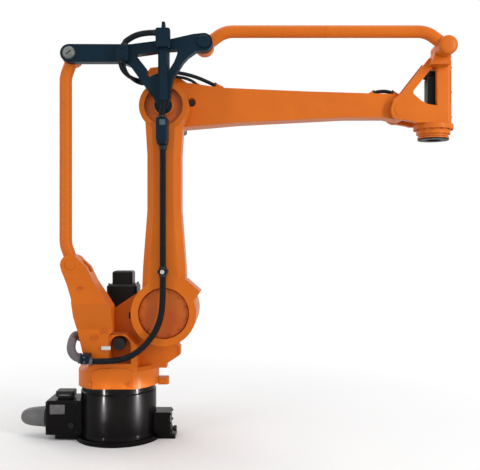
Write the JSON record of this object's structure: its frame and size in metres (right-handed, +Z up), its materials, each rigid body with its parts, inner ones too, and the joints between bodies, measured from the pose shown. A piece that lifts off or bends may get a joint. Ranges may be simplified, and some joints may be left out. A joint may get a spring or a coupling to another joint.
{
  "type": "palletising robot arm",
  "caption": "Floor-mounted palletising robot arm with a vertical link arm, a horizontal arm, two parallelogram rods that keep the wrist level, and a turning tool flange.",
  "frame": {"origin": "centre of the foot's flat underside, on the turning axis", "axes": "+X forwards along the arm at rest, +Z up the turning axis, +Y to the left of the machine, with the link arm and rods on the -Y side"},
  "size_m": [1.768, 0.5395, 1.636],
  "materials": {
    "orange_paint": "satin paint on castings",
    "black_casting": "gloss black paint",
    "lever_paint": "satin blue-black paint",
    "motor_black": "satin black",
    "black_plastic": "moulded",
    "grey_plastic": "moulded",
    "grey_hose": "corrugated",
    "hose_rubber": "satin rubber",
    "pin_steel": "turned",
    "flange_steel": "blackened"
  },
  "bodies": {
    "base": {"base_pedestal": "black_casting", "junction_box": "black_casting", "power_connector": "black_plastic", "cable_entry_hood": "grey_plastic", "service_block": "black_casting", "service_fitting": "black_plastic"},
    "column": {"column_casting": "orange_paint", "rear_bracket": "orange_paint", "turn_stop_lug": "orange_paint", "swing_bumper": "orange_paint", "swing_gearbox": "pin_steel", "swing_far_cover": "orange_paint", "swing_motor": "motor_black", "turn_motor": "motor_black", "cavity_connector": "black_plastic", "rear_rod_pin": "pin_steel", "conduit_clamp": "lever_paint", "feed_conduit": "grey_hose"},
    "link_arm": {"link_arm_casting": "orange_paint", "shoulder_cover": "orange_paint", "conduit_clip": "lever_paint", "socket_box": "lever_paint", "conduit_run": "hose_rubber", "conduit_loop": "hose_rubber"},
    "linkage": {"linkage_lever": "lever_paint", "elbow_pin": "pin_steel", "lever_pins": "pin_steel", "hose_mast": "lever_paint", "mast_clamp": "lever_paint", "lever_clamp": "lever_paint", "lever_hose": "hose_rubber", "neck_conduit": "hose_rubber", "elbow_hose": "hose_rubber"},
    "rear_rod": {"rear_rod": "orange_paint"},
    "arm": {"arm_casting": "orange_paint", "elbow_housing": "orange_paint", "tilt_gearbox": "orange_paint", "tilt_motor": "motor_black", "arm_hose": "hose_rubber"},
    "upper_rod": {"upper_rod": "orange_paint"},
    "wrist": {"wrist_frame": "orange_paint", "wrist_pins": "pin_steel", "wrist_motor": "motor_black", "wrist_gear_housing": "orange_paint"},
    "flange": {"tool_flange": "flange_steel"}
  },
  "joints": [
    {"name": "turn", "type": "hinge", "parent": "base", "child": "column", "pos_m": [0, 0, 0.22], "axis": [0, 0, 1], "range_deg": [-170, 170]},
    {"name": "link_arm_swing", "type": "hinge", "parent": "column", "child": "link_arm", "pos_m": [0.2, 0, 0.518], "axis": [0, 1, 0], "range_deg": [-30, 60], "deforming": ["conduit_loop"]},
    {"name": "linkage_level", "type": "hinge", "parent": "link_arm", "child": "linkage", "pos_m": [0.2, 0, 1.323], "axis": [0, 1, 0], "range_deg": [-60, 30], "deforming": ["neck_conduit"]},
    {"name": "rear_rod_pivot", "type": "hinge", "parent": "column", "child": "rear_rod", "pos_m": [-0.153, 0, 0.708], "axis": [0, 1, 0], "range_deg": [-30, 60]},
    {"name": "arm_tilt", "type": "hinge", "parent": "linkage", "child": "arm", "pos_m": [0.2, 0, 1.323], "axis": [0, 1, 0], "range_deg": [-30, 45], "deforming": ["elbow_hose"]},
    {"name": "upper_rod_pivot", "type": "hinge", "parent": "linkage", "child": "upper_rod", "pos_m": [0.358, 0, 1.555], "axis": [0, 1, 0], "range_deg": [-30, 45]},
    {"name": "wrist_level", "type": "hinge", "parent": "arm", "child": "wrist", "pos_m": [1.14, 0, 1.323], "axis": [0, 1, 0], "range_deg": [-45, 30]},
    {"name": "flange_turn", "type": "hinge", "parent": "wrist", "child": "flange", "pos_m": [1.288, 0, 1.21], "axis": [0, 0, 1], "range_deg": [-350, 350]}
  ],
  "couplings": [
    {"joint": "linkage_level", "follows": "link_arm_swing", "ratio": -1},
    {"joint": "rear_rod_pivot", "follows": "link_arm_swing", "ratio": 1},
    {"joint": "upper_rod_pivot", "follows": "arm_tilt", "ratio": 1},
    {"joint": "wrist_level", "follows": "arm_tilt", "ratio": -1}
  ]
}
